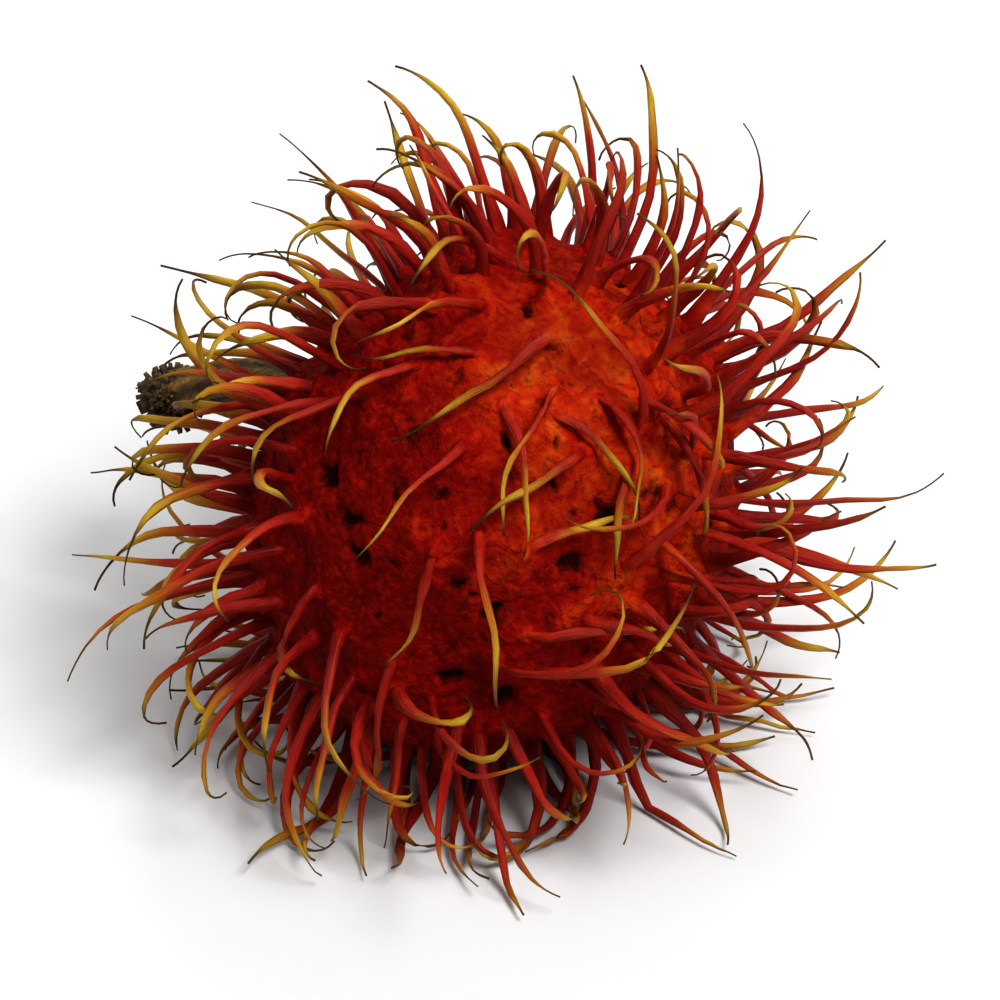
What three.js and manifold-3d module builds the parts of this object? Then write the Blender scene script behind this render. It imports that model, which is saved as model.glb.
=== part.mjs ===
// A whole ripe rambutan lying on its side: a nearly round rind that bristles with long, soft, curling
// spinterns, and the short stub of its stem. Millimetres, +Z up. The origin is on the table, at the middle
// of the small flat spot that the rind rests on, and the stem end points towards -X and a little upwards.
import * as THREE from "three";
import { mergeVertices } from "three/addons/utils/BufferGeometryUtils.js";
import Module from "manifold-3d";

// Driving dimensions of the rind
const RIND_HALF_LENGTH = 17.8; // from the middle towards the stem or the blossom end
const RIND_HALF_WIDTH = 20.8;
const RIND_HALF_HEIGHT = 20;
const BLOSSOM_TAPER = 0.05; // the blossom end is slimmer by this share, and the stem end fuller
const STEM_RISE = THREE.MathUtils.degToRad(14); // how far the stem end is raised
const FLAT_SPOT_DEPTH = 0.7; // how much of the underside the table flattens
const RIND_DETAIL = 5;
const TABLE_BLOCK = 200; // wider than the fruit

// Driving dimensions of the spinterns
const SPINTERN_COUNT = 300; // places on the whole rind, before some are lost
const SPINTERN_LENGTH = 14.8; // the mean, measured along the curve from the skin
const SPINTERN_LENGTH_SPREAD = 3.6;
const SPINTERN_HALF_WIDTH = 0.62; // before the flare of the root and the taper of the tip
const SPINTERN_FLATNESS = 0.58; // thickness as a share of width
const SPINTERN_TWIST = THREE.MathUtils.degToRad(110); // of that flat section, from root to tip
const SPINTERN_FLARE = 0.6; // how much wider the root gets as it runs into the skin
const FLARE_REACH = 0.14; // the share of the length over which the flare fades
const SPINTERN_TAPER = 0.42; // 0 for an even width to the tip, 1 for a straight taper
const SPINTERN_SINK = 1.3; // how deep the root goes below the skin
const LOWEST_FOOT = 0.8; // above the table
const SPINTERN_SIDES = 3;
const CORNERS_OUT = 1.2; // a section with three corners needs this much more reach than a round one
const SPINTERN_RINGS = [0, 0.12, 0.4, 0.72, 1]; // shares of the length that get a ring of corners

// Wear, which has taken most of the spinterns off one side
const WORN_SIDE = new THREE.Vector3(0.4, -0.72, 0.57);
const WEAR_FROM = 0.58; // wear sets in where the skin faces that side this much, and is full at the next
const WEAR_TO = 0.84;
const WEAR_LOSS = 0.62; // the share of the places that are lost where the wear is full
const WEAR_THINNING = 0.3; // how much thinner the spinterns that are left there have become

// How the spinterns grow and bend
const GROWTH_STEPS = 24;
const PLACE_NUDGE = 0.03; // along the rind's axis, as a share of its half length
const TURN_NUDGE = 0.09; // round that axis, in radians at the widest ring
const NARROWEST_RING = 0.2; // the nudge grows no further on narrower rings
const START_TILT = 0.32; // how far a spintern may lean where it leaves the skin
const LEAN_WAVES = 2.6; // how often the lean that neighbours share changes over the rind
const SHARED_LEAN = 0.8; // this lean, a spintern's own and its weight together say which way it bends
const OWN_LEAN = 0.9;
const DROOP = 0.45;
const WORN_DROOP = 0.8; // more of it on the worn side
const LEAST_BEND = THREE.MathUtils.degToRad(14);
const BEND_SPREAD = THREE.MathUtils.degToRad(66);
const WORN_BEND = THREE.MathUtils.degToRad(50);
const WORN_PRESS = THREE.MathUtils.degToRad(95); // how far one has been pressed over there at its root
const ELBOW_REACH = 0.07; // the share of the length over which it bends there
const SWAY = 1.2; // how unevenly the bend is spread over the length
const HOOK = THREE.MathUtils.degToRad(180); // the tightest hook at a tip
const HOOK_LATENESS = 3; // 0 for a hook spread over the whole length
const SWIRL = THREE.MathUtils.degToRad(55); // how far it winds round its own foot
const WOBBLE = THREE.MathUtils.degToRad(90); // how fast it swings from side to side, per length
const BEND_WOBBLE = 0.5; // the same swing in the plane of the bend, as a share of it
const WOBBLE_WAVES = 1.8; // over the length
const TABLE_MARGIN = 0.5;
const SKIN_MARGIN = 1.1; // the height over the skin that a spintern keeps
const FREE_LENGTH = 1.5; // the length that stands up from the skin before that counts
const CLEARING_RADIUS = 3; // of the arc in which a spintern bends off whatever is in its way

// Driving dimensions of the stem stub
const STUB_RADIUS = 1.9;
const STUB_LENGTH = 11.5; // from the skin to the middle of the knob
const STUB_DROOP = 7.5; // how far its end hangs below its straight line
const STUB_SINK = 2.6; // how deep it sits in its socket
const STUB_STEPS = 12;
const STUB_RIDGES = 6;
const STUB_GROOVES = 0.86; // how far out the grooves between the ridges lie, as a share of the radius
const STUB_RINGS = 5;
const SOCKET_SIDES = 16;
const KNOB_RADIUS = 1.9;
const KNOB_BRISTLES = 26;
const BRISTLE_SHORTEST = 0.7; // outside the knob
const BRISTLE_SPREAD = 0.45;
const BRISTLE_TIP_RADIUS = 0.16;
const BRISTLE_FOOT_RADIUS = 0.5;
const BRISTLE_SIDES = 4;
const CLEARANCE = 0.3; // between the stub and everything that it doesn't touch
const STUB_BERTH = 2.2; // how far spinterns keep off the stub's surface
const BARE_COLLAR = 2.9; // the width of the skin round the stub that has no spinterns

// Repeatable chance: a purpose picks a row of numbers, and a spintern's or a bristle's index one of them
const SEED = 4;
const PURPOSES = [
  "along",
  "round",
  "length",
  "sideX",
  "sideY",
  "sideZ",
  "tilt",
  "lean",
  "bend",
  "hook",
  "swirl",
  "sway",
  "loss",
  "wave",
  "twist",
  "bristle",
];
const INDEX_STRIDE = 12.9898;
const PURPOSE_STRIDE = 78.233;
const SCATTER = 43758.5453;

const WELD = 1e-4; // corners closer than this are one
const GOLDEN_ANGLE = Math.PI * (3 - Math.sqrt(5));
const UP = new THREE.Vector3(0, 0, 1);

const wasm = await Module();
wasm.setup();

// A repeatable number from 0 to 1.
function draw(index, purpose) {
  const row = PURPOSES.indexOf(purpose) + SEED;
  const scattered = Math.sin((index + 1) * INDEX_STRIDE + row * PURPOSE_STRIDE) * SCATTER;
  return scattered - Math.floor(scattered);
}

// The same as a number from -1 to 1.
function drawBoth(index, purpose) {
  return 2 * draw(index, purpose) - 1;
}

// The rind's own frame: +X towards the blossom end, turned about Y so that the stem end rises.
const rindTurn = new THREE.Quaternion().setFromAxisAngle(new THREE.Vector3(0, 1, 0), STEM_RISE);
const rindHalfHeightAsLaid = Math.hypot(
  RIND_HALF_LENGTH * Math.sin(STEM_RISE),
  RIND_HALF_HEIGHT * Math.cos(STEM_RISE),
);
const rindMiddle = new THREE.Vector3(0, 0, rindHalfHeightAsLaid - FLAT_SPOT_DEPTH);

function toRow(v) {
  return v.clone().applyQuaternion(rindTurn).add(rindMiddle);
}

// The point of the skin in a direction of the rind's own frame, in that frame.
function skinPoint(direction) {
  const taper = 1 - BLOSSOM_TAPER * direction.x;
  return new THREE.Vector3(
    direction.x * RIND_HALF_LENGTH,
    direction.y * RIND_HALF_WIDTH * taper,
    direction.z * RIND_HALF_HEIGHT * taper,
  );
}

// The way out of the skin at a point of the row frame.
function outOfSkin(point) {
  const own = point.clone().sub(rindMiddle).applyQuaternion(rindTurn.clone().invert());
  own.x /= RIND_HALF_LENGTH ** 2;
  own.y /= RIND_HALF_WIDTH ** 2;
  own.z /= RIND_HALF_HEIGHT ** 2;
  return own.normalize().applyQuaternion(rindTurn);
}

// How far a point of the row frame is from the middle, as a multiple of the skin there.
function skinLevel(point) {
  const own = point.clone().sub(rindMiddle).applyQuaternion(rindTurn.clone().invert());
  return Math.hypot(own.x / RIND_HALF_LENGTH, own.y / RIND_HALF_WIDTH, own.z / RIND_HALF_HEIGHT);
}

// The stub's centre line, from the bottom of its socket (0) to the middle of its knob (1). It is straight
// in the socket and droops outside it.
function stubPoint(share) {
  const reach = -STUB_SINK + (STUB_SINK + STUB_LENGTH) * share;
  const droop = STUB_DROOP * (Math.max(reach, 0) / STUB_LENGTH) ** 2;
  return toRow(new THREE.Vector3(-RIND_HALF_LENGTH - reach, 0, -droop));
}
const stubPoints = [];
for (let step = 0; step <= STUB_STEPS; step++) stubPoints.push(stubPoint(step / STUB_STEPS));
const stubLine = new THREE.CatmullRomCurve3(stubPoints);
const stubSkin = toRow(new THREE.Vector3(-RIND_HALF_LENGTH, 0, 0));
const stubEnd = stubPoint(1);

// Bends a heading off a wall that is a gap away, in an arc that just clears it.
function bendOff(heading, wall, gap, stride) {
  const hinge = new THREE.Vector3().crossVectors(heading, wall);
  if (heading.dot(wall) < 0 && gap < CLEARING_RADIUS * (1 - hinge.length())) {
    heading.applyAxisAngle(hinge.normalize(), stride / CLEARING_RADIUS);
  }
  const against = heading.dot(wall);
  if (gap < 0 && against < 0) heading.addScaledVector(wall, -against).normalize();
}

// Bends a growing spintern's heading off the table, the skin and the stub.
function keepClear(point, heading, length, share) {
  const stride = length / GROWTH_STEPS;
  const tableGap = point.z - TABLE_MARGIN - SPINTERN_FLATNESS * spinternHalfWidth(share);
  bendOff(heading, UP, tableGap, stride);
  if (share * length > FREE_LENGTH) {
    const skinGap = (skinLevel(point) - 1) * RIND_HALF_LENGTH - SKIN_MARGIN;
    bendOff(heading, outOfSkin(point), skinGap, stride);
  }
  let nearest = stubPoints[0];
  for (const p of stubPoints) if (p.distanceTo(point) < nearest.distanceTo(point)) nearest = p;
  const stubGap = point.distanceTo(nearest) - STUB_RADIUS - STUB_BERTH;
  bendOff(heading, point.clone().sub(nearest).normalize(), stubGap, stride);
}

// Half a spintern's width at a share of its length: a stout foot, an even middle and a fine tip.
function spinternHalfWidth(share) {
  const flare = SPINTERN_FLARE * Math.exp(-share / FLARE_REACH);
  return SPINTERN_HALF_WIDTH * ((1 - share) ** SPINTERN_TAPER + flare);
}

// Where spintern number index stands: an evenly spread spiral of places, each nudged at random.
function spinternRoot(index) {
  const along = 1 - (2 * (index + 0.5)) / SPINTERN_COUNT + PLACE_NUDGE * drawBoth(index, "along");
  const ring = Math.sqrt(Math.max(0, 1 - along * along));
  const nudge = (TURN_NUDGE / Math.max(ring, NARROWEST_RING)) * drawBoth(index, "round");
  const round = index * GOLDEN_ANGLE + nudge;
  const direction = new THREE.Vector3(along, ring * Math.cos(round), ring * Math.sin(round)).normalize();
  const point = toRow(skinPoint(direction));
  return { point, normal: outOfSkin(point) };
}

// How worn the skin is where it faces this way, from 0 to 1.
function wearAt(normal) {
  return THREE.MathUtils.clamp((normal.dot(WORN_SIDE) - WEAR_FROM) / (WEAR_TO - WEAR_FROM), 0, 1);
}

// The way that all spinterns of a neighbourhood lean. It changes slowly over the rind.
function sharedLean(normal) {
  return new THREE.Vector3(
    Math.sin(LEAN_WAVES * normal.y + SEED),
    Math.sin(LEAN_WAVES * normal.z + 2 * SEED),
    Math.sin(LEAN_WAVES * normal.x + 3 * SEED),
  );
}

// The curve of spintern number index: its points and headings from its sunk root to its tip, or null
// where it is worn off or the stub or the flat spot leaves no room for it.
function growSpintern(index) {
  const { point: foot, normal } = spinternRoot(index);
  if (foot.distanceTo(stubSkin) < STUB_RADIUS + BARE_COLLAR || foot.z < LOWEST_FOOT) return null;
  const wear = wearAt(normal);
  if (draw(index, "loss") < WEAR_LOSS * wear) return null;
  const length = SPINTERN_LENGTH + SPINTERN_LENGTH_SPREAD * drawBoth(index, "length");
  const side = new THREE.Vector3(
    drawBoth(index, "sideX"),
    drawBoth(index, "sideY"),
    drawBoth(index, "sideZ"),
  );
  side.addScaledVector(normal, -side.dot(normal)).normalize();
  const pull = side.clone().applyAxisAngle(normal, Math.PI * drawBoth(index, "lean"));
  pull.multiplyScalar(OWN_LEAN).addScaledVector(sharedLean(normal), SHARED_LEAN);
  pull.addScaledVector(UP, -DROOP - WORN_DROOP * wear);
  const heading = normal.clone().addScaledVector(side, START_TILT * draw(index, "tilt")).normalize();
  const hinge = new THREE.Vector3().crossVectors(heading, pull).normalize();
  const bend = LEAST_BEND + BEND_SPREAD * draw(index, "bend") + WORN_BEND * wear;
  const hook = HOOK * draw(index, "hook") ** 2;
  const swirl = SWIRL * drawBoth(index, "swirl");
  const sway = SWAY * drawBoth(index, "sway");
  const waveStart = draw(index, "wave");
  const point = foot.clone();
  const twist = SPINTERN_TWIST * drawBoth(index, "twist");
  const stoutness = 1 - WEAR_THINNING * wear;
  const points = [foot.clone().addScaledVector(normal, -SPINTERN_SINK)];
  const headings = [normal];
  for (let step = 1; step <= GROWTH_STEPS; step++) {
    const share = step / GROWTH_STEPS;
    const press = ((WORN_PRESS * wear) / ELBOW_REACH) * Math.exp(-share / ELBOW_REACH);
    const late = (HOOK_LATENESS + 1) * share ** HOOK_LATENESS;
    const turn = press + bend * (1 + sway * (2 * share - 1)) + hook * late;
    const wobble = WOBBLE * Math.cos(2 * Math.PI * (WOBBLE_WAVES * share + waveStart));
    heading.applyAxisAngle(hinge, (turn + wobble * BEND_WOBBLE) / GROWTH_STEPS);
    heading.applyAxisAngle(normal, (2 * swirl * share + wobble) / GROWTH_STEPS);
    keepClear(point, heading, length, share);
    point.addScaledVector(heading, length / GROWTH_STEPS);
    points.push(point.clone());
    headings.push(heading.clone());
  }
  return { points, headings, side, twist, stoutness };
}

// A unit cone bent along a spintern's curve. Its base and its tip close on the curve itself.
function spinternGeometry({ points, headings, side, twist, stoutness }) {
  const rings = SPINTERN_RINGS.length - 1;
  const cone = new THREE.ConeGeometry(1, 1, SPINTERN_SIDES, rings);
  const position = cone.getAttribute("position");
  for (let v = 0; v < position.count; v++) {
    const corner = new THREE.Vector3().fromBufferAttribute(position, v);
    const share = SPINTERN_RINGS[Math.round((corner.y + 0.5) * rings)];
    const onAxis = Math.hypot(corner.x, corner.z) < WELD;
    const round = Math.atan2(corner.z, corner.x);
    const half = onAxis ? 0 : CORNERS_OUT * stoutness * spinternHalfWidth(share);
    const at = Math.round(share * GROWTH_STEPS);
    const wide = side.clone().addScaledVector(headings[at], -side.dot(headings[at])).normalize();
    wide.applyAxisAngle(headings[at], twist * share);
    const thick = new THREE.Vector3().crossVectors(wide, headings[at]);
    corner.copy(points[at]);
    corner.addScaledVector(wide, half * Math.cos(round));
    corner.addScaledVector(thick, half * SPINTERN_FLATNESS * Math.sin(round));
    position.setXYZ(v, corner.x, corner.y, corner.z);
  }
  return cone;
}

// A closed three.js geometry as a solid that can be joined and cut.
function solidOf(geometry) {
  const bare = geometry.clone();
  bare.deleteAttribute("normal");
  bare.deleteAttribute("uv");
  const merged = mergeVertices(bare, WELD);
  return new wasm.Manifold(
    new wasm.Mesh({
      numProp: 3,
      vertProperties: new Float32Array(merged.getAttribute("position").array),
      triVerts: new Uint32Array(merged.index.array),
    }),
  );
}

function geometryOf(solid) {
  const mesh = solid.getMesh();
  const geometry = new THREE.BufferGeometry();
  geometry.setAttribute("position", new THREE.BufferAttribute(mesh.vertProperties, 3));
  geometry.setIndex(new THREE.BufferAttribute(mesh.triVerts, 1));
  geometry.computeVertexNormals();
  return geometry;
}

function rindGeometry() {
  const ball = new THREE.IcosahedronGeometry(1, RIND_DETAIL);
  const position = ball.getAttribute("position");
  for (let v = 0; v < position.count; v++) {
    const at = toRow(skinPoint(new THREE.Vector3().fromBufferAttribute(position, v).normalize()));
    position.setXYZ(v, at.x, at.y, at.z);
  }
  return ball;
}

// A block of the space under the table's surface.
function underTheTable() {
  const block = new THREE.BoxGeometry(TABLE_BLOCK, TABLE_BLOCK, TABLE_BLOCK);
  block.translate(0, 0, -TABLE_BLOCK / 2);
  return solidOf(block);
}

// The round hole in the rind that the stub sits in.
function stubSocket() {
  const radius = STUB_RADIUS + CLEARANCE;
  const depth = STUB_SINK + CLEARANCE;
  const hole = new THREE.CylinderGeometry(radius, radius, 2 * depth, SOCKET_SIDES);
  hole.rotateZ(Math.PI / 2);
  hole.translate(-RIND_HALF_LENGTH, 0, 0);
  hole.applyQuaternion(rindTurn);
  hole.translate(rindMiddle.x, rindMiddle.y, rindMiddle.z);
  return solidOf(hole);
}

function makeFruit() {
  const pieces = [solidOf(rindGeometry())];
  for (let index = 0; index < SPINTERN_COUNT; index++) {
    const grown = growSpintern(index);
    if (grown) pieces.push(solidOf(spinternGeometry(grown)));
  }
  const whole = wasm.Manifold.union(pieces).subtract(underTheTable()).subtract(stubSocket());
  const material = new THREE.MeshStandardMaterial({ color: 0x9c1f16, roughness: 0.5, metalness: 0 });
  const fruit = new THREE.Mesh(geometryOf(whole), material);
  fruit.name = "fruit";
  return fruit;
}

// The stem's ridged shaft, drawn along its centre line.
function stubShaft() {
  const section = new THREE.Shape();
  for (let corner = 0; corner < 2 * STUB_RIDGES; corner++) {
    const radius = corner % 2 ? STUB_GROOVES * STUB_RADIUS : STUB_RADIUS;
    const round = (corner * Math.PI) / STUB_RIDGES;
    const place = [radius * Math.cos(round), radius * Math.sin(round)];
    if (corner === 0) section.moveTo(...place);
    else section.lineTo(...place);
  }
  section.closePath();
  const path = { steps: STUB_RINGS, extrudePath: stubLine, bevelEnabled: false };
  return new THREE.ExtrudeGeometry(section, path);
}

// One short blunt bristle of the knob, its foot at the knob's middle.
function knobBristle(index) {
  const along = 1 - (2 * (index + 0.5)) / KNOB_BRISTLES;
  const ring = Math.sqrt(1 - along * along);
  const round = index * GOLDEN_ANGLE;
  const out = new THREE.Vector3(along, ring * Math.cos(round), ring * Math.sin(round));
  const length = KNOB_RADIUS + BRISTLE_SHORTEST + BRISTLE_SPREAD * draw(index, "bristle");
  const radii = [BRISTLE_TIP_RADIUS, BRISTLE_FOOT_RADIUS];
  const bristle = new THREE.CylinderGeometry(...radii, length, BRISTLE_SIDES);
  bristle.translate(0, length / 2, 0);
  bristle.applyQuaternion(new THREE.Quaternion().setFromUnitVectors(new THREE.Vector3(0, 1, 0), out));
  bristle.translate(stubEnd.x, stubEnd.y, stubEnd.z);
  return bristle;
}

function makeStemStub() {
  const core = new THREE.IcosahedronGeometry(KNOB_RADIUS, 1);
  core.translate(stubEnd.x, stubEnd.y, stubEnd.z);
  const pieces = [solidOf(stubShaft()), solidOf(core)];
  for (let index = 0; index < KNOB_BRISTLES; index++) pieces.push(solidOf(knobBristle(index)));
  const material = new THREE.MeshStandardMaterial({ color: 0x4a3a1c, roughness: 0.8, metalness: 0 });
  const stub = new THREE.Mesh(geometryOf(wasm.Manifold.union(pieces)), material);
  stub.name = "stem_stub";
  return stub;
}

const rambutan = new THREE.Group();
rambutan.add(makeFruit(), makeStemStub());

export default rambutan;
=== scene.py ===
# %% [markdown]
# # A rambutan, from a plain solid to a close look
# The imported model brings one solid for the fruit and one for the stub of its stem, both with few faces.
# This lesson grows the same fruit again with fine meshes: a rind with swollen roots and stains, several
# hundred tapering spinterns on the very curves that the solid follows, and a bristly stub. Then it gives
# each of them a finish made of nodes, and sets up a floor, soft light and a camera.

# %% Load the frame
import math

import bmesh
import bpy
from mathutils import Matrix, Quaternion, Vector, noise
from mathutils.kdtree import KDTree


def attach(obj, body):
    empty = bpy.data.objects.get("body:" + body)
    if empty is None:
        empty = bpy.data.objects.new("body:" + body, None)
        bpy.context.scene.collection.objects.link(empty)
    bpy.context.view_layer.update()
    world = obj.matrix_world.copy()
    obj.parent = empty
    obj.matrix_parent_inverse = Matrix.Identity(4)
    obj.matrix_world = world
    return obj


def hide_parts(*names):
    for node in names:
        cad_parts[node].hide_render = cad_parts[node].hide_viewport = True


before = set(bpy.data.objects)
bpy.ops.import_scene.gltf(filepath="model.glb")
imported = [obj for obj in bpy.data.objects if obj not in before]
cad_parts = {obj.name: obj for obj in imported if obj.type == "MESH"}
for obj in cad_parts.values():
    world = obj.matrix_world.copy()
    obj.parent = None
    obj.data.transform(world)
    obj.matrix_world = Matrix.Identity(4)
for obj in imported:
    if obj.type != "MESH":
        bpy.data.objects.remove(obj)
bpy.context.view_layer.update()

MM = 0.001

# %% [markdown]
# ## The shape of the rind
# The rind is a nearly round ball, a little slimmer at the blossom end, that lies with its stem end raised.
# Everything else is placed on it, so its size, its tilt and the way out of its skin are worked out first,
# from the same driving sizes as the solid. A formula is enough here: a scanned or sculpted ball would look
# no better under so many spinterns, and it couldn't be changed by one number.

# %% The rind's sizes and its place
RIND_HALVES = Vector((17.8, 20.8, 20.0)) * MM  # towards the stem, across, and up
BLOSSOM_TAPER = 0.05
STEM_RISE = math.radians(14)
FLAT_SPOT_DEPTH = 0.7 * MM
UP = Vector((0, 0, 1))

rind_turn = Quaternion((0, 1, 0), STEM_RISE)
height_as_laid = math.hypot(RIND_HALVES.x * math.sin(STEM_RISE), RIND_HALVES.z * math.cos(STEM_RISE))
rind_middle = Vector((0, 0, height_as_laid - FLAT_SPOT_DEPTH))


def to_row(own):
    """A point of the rind's own frame, +X towards the blossom end, in the row frame."""
    return rind_turn @ own + rind_middle


def skin_point(direction):
    """The point of the plain skin in a direction of the rind's own frame, in the row frame."""
    taper = 1 - BLOSSOM_TAPER * direction.x
    return to_row(direction * RIND_HALVES * Vector((1, taper, taper)))


def out_of_skin(point):
    """The way out of the skin at a point of the row frame."""
    own = rind_turn.inverted() @ (point - rind_middle)
    return (rind_turn @ Vector([x / half**2 for x, half in zip(own, RIND_HALVES)])).normalized()


def skin_level(point):
    """How far out a point is, as a multiple of the skin there."""
    own = rind_turn.inverted() @ (point - rind_middle)
    return Vector([x / half for x, half in zip(own, RIND_HALVES)]).length


print("the rind's middle is", round(rind_middle.z / MM, 2), "mm above the table")

# %% [markdown]
# ## Chance that repeats
# Nature spreads the spinterns by chance, but this lesson has to grow the same fruit on every run. So each
# number is drawn by a formula from the spintern's own number and the purpose of the draw. Python's random
# module with a fixed seed would repeat as well, but then one more draw anywhere would change all the rest.
# Blender's vector noise, which shifts the stains later, follows the clock until it is given a seed.

# %% Repeatable draws
SEED = 4
PURPOSES = (
    "along round length side_x side_y side_z tilt lean bend hook swirl sway loss wave twist bristle "
    "tint ripe stout withered dry stain_turn stain_way stain stain_width "
    "pit pit_turn pit_way pit_width second_pit_width scale"
).split()
INDEX_STRIDE = 12.9898
PURPOSE_STRIDE = 78.233
SCATTER = 43758.5453
GOLDEN_ANGLE = math.pi * (3 - math.sqrt(5))

noise.seed_set(SEED)


def draw(index, purpose):
    """A repeatable number from 0 to 1."""
    row = PURPOSES.index(purpose) + SEED
    scattered = math.sin((index + 1) * INDEX_STRIDE + row * PURPOSE_STRIDE) * SCATTER
    return scattered - math.floor(scattered)


def draw_both(index, purpose):
    """A repeatable number from -1 to 1."""
    return 2 * draw(index, purpose) - 1


def pick(limits, share):
    """The number at a share of the way from one limit to the other."""
    first, last = limits
    return first + (last - first) * share


print("one draw as a sample:", round(draw(0, "length"), 4))

# %% [markdown]
# ## The stub's centre line
# The short stub of the stem comes before the spinterns, because they grow round it. Its centre line leaves
# the skin square to it and droops towards the end, so its drop grows with the square of its reach.

# %% The stub's centre line
STUB_RADIUS = 1.9 * MM
STUB_LENGTH = 11.5 * MM
STUB_DROOP = 7.5 * MM
STUB_SINK = 2.6 * MM
STUB_BERTH = 2.2 * MM
BARE_COLLAR = 2.9 * MM
STUB_STEPS = 12


def stub_point(share):
    """The stub's middle at a share of the way from the bottom of its socket to its knob."""
    reach = -STUB_SINK + (STUB_SINK + STUB_LENGTH) * share
    droop = STUB_DROOP * (max(reach, 0) / STUB_LENGTH) ** 2
    return to_row(Vector((-RIND_HALVES.x - reach, 0, -droop)))


stub_points = [stub_point(step / STUB_STEPS) for step in range(STUB_STEPS + 1)]
stub_skin = to_row(Vector((-RIND_HALVES.x, 0, 0)))
print("the stub's knob is at", [round(x / MM, 1) for x in stub_points[-1]], "mm")

# %% [markdown]
# ## How a spintern grows
# A spintern leaves the skin almost square to it, bends, and hooks at its tip. It could be drawn as a curve
# by hand, but there are hundreds. Growing each one in small steps gives the same forms: every step turns
# the heading a little and moves on. Before it moves, the heading bends off whatever is in the way, which is
# the table, the skin or the stub. On the side that has been rubbed, spinterns are pressed over right at the
# root, and are thinner.

# %% The sizes of a spintern
SPINTERN_COUNT = 300
SPINTERN_LENGTH = 14.8 * MM
SPINTERN_LENGTH_SPREAD = 3.6 * MM
SPINTERN_HALF_WIDTH = 0.62 * MM
SPINTERN_FLATNESS = 0.58
SPINTERN_TWIST = math.radians(110)
SPINTERN_FLARE = 0.6
FLARE_REACH = 0.14
SPINTERN_TAPER = 0.42
SPINTERN_SINK = 1.3 * MM
LOWEST_FOOT = 0.8 * MM


def spintern_half_width(share):
    """Half the width at a share of the length: a stout foot, an even middle and a fine tip."""
    flare = SPINTERN_FLARE * math.exp(-share / FLARE_REACH)
    return SPINTERN_HALF_WIDTH * ((1 - share) ** SPINTERN_TAPER + flare)


widths = [round(2 * spintern_half_width(share) / MM, 2) for share in (0, 0.5, 1)]
print("a spintern's widths at its root, middle and tip in mm:", widths)

# %% Where it stands and what it keeps clear of
PLACE_NUDGE = 0.03
TURN_NUDGE = 0.09
NARROWEST_RING = 0.2
TABLE_MARGIN = 0.5 * MM
SKIN_MARGIN = 1.1 * MM
FREE_LENGTH = 1.5 * MM
CLEARING_RADIUS = 3 * MM


def spiral_place(index, count, first_turn=0):
    """A point of the skin on an evenly spread spiral of places, nudged by chance."""
    along = 1 - 2 * (index + 0.5) / count + PLACE_NUDGE * draw_both(index, "along")
    ring = math.sqrt(max(0, 1 - along * along))
    nudge = TURN_NUDGE / max(ring, NARROWEST_RING) * draw_both(index, "round")
    turn = first_turn + index * GOLDEN_ANGLE + nudge
    return skin_point(Vector((along, ring * math.cos(turn), ring * math.sin(turn))).normalized())


def bend_off(heading, wall, gap, stride):
    """A heading bent off a wall that is a gap away, in an arc that just clears it."""
    hinge = heading.cross(wall)
    if heading.dot(wall) < 0 and gap < CLEARING_RADIUS * (1 - hinge.length):
        heading = Quaternion(hinge.normalized(), stride / CLEARING_RADIUS) @ heading
    against = heading.dot(wall)
    if gap < 0 and against < 0:
        heading = (heading - wall * against).normalized()
    return heading


def keep_clear(point, heading, length, share):
    """A growing spintern's heading, bent off the table, the skin and the stub."""
    stride = length / GROWTH_STEPS
    table_gap = point.z - TABLE_MARGIN - SPINTERN_FLATNESS * spintern_half_width(share)
    heading = bend_off(heading, UP, table_gap, stride)
    if share * length > FREE_LENGTH:
        skin_gap = (skin_level(point) - 1) * RIND_HALVES.x - SKIN_MARGIN
        heading = bend_off(heading, out_of_skin(point), skin_gap, stride)
    nearest = min(stub_points, key=lambda p: (p - point).length)
    stub_gap = (point - nearest).length - STUB_RADIUS - STUB_BERTH
    return bend_off(heading, (point - nearest).normalized(), stub_gap, stride)


first_foot = spiral_place(0, SPINTERN_COUNT)
print("the first spintern stands at", [round(x / MM, 1) for x in first_foot], "mm")

# %% The worn side
WORN_SIDE = Vector((0.4, -0.72, 0.57))
WEAR_FROM = 0.58
WEAR_TO = 0.84
WEAR_LOSS = 0.62
WEAR_THINNING = 0.3


def wear_at(normal):
    """How worn the skin is where it faces this way, from 0 to 1."""
    return min(1, max(0, (normal.dot(WORN_SIDE) - WEAR_FROM) / (WEAR_TO - WEAR_FROM)))


def is_lost(index, foot):
    """Whether this place has lost its spintern to wear."""
    return draw(index, "loss") < WEAR_LOSS * wear_at(out_of_skin(foot))


lost = sum(is_lost(index, spiral_place(index, SPINTERN_COUNT)) for index in range(SPINTERN_COUNT))
print(lost, "of the solid's", SPINTERN_COUNT, "places have lost their spintern")

# %% One spintern's curve
GROWTH_STEPS = 24
START_TILT = 0.32
LEAN_WAVES = 2.6
SHARED_LEAN = 0.8
OWN_LEAN = 0.9
DROOP = 0.45
WORN_DROOP = 0.8
WORN_BEND = math.radians(50)
WORN_PRESS = math.radians(95)
ELBOW_REACH = 0.07
LEAST_BEND = math.radians(14)
BEND_SPREAD = math.radians(66)
SWAY = 1.2
HOOK = math.radians(180)
HOOK_LATENESS = 3
SWIRL = math.radians(55)
WOBBLE = math.radians(90)
BEND_WOBBLE = 0.5
WOBBLE_WAVES = 1.8


def shared_lean(normal):
    """The way that all spinterns of a neighbourhood lean. It changes slowly over the rind."""
    x, y, z = normal * LEAN_WAVES
    return Vector((math.sin(y + SEED), math.sin(z + 2 * SEED), math.sin(x + 3 * SEED)))


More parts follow.
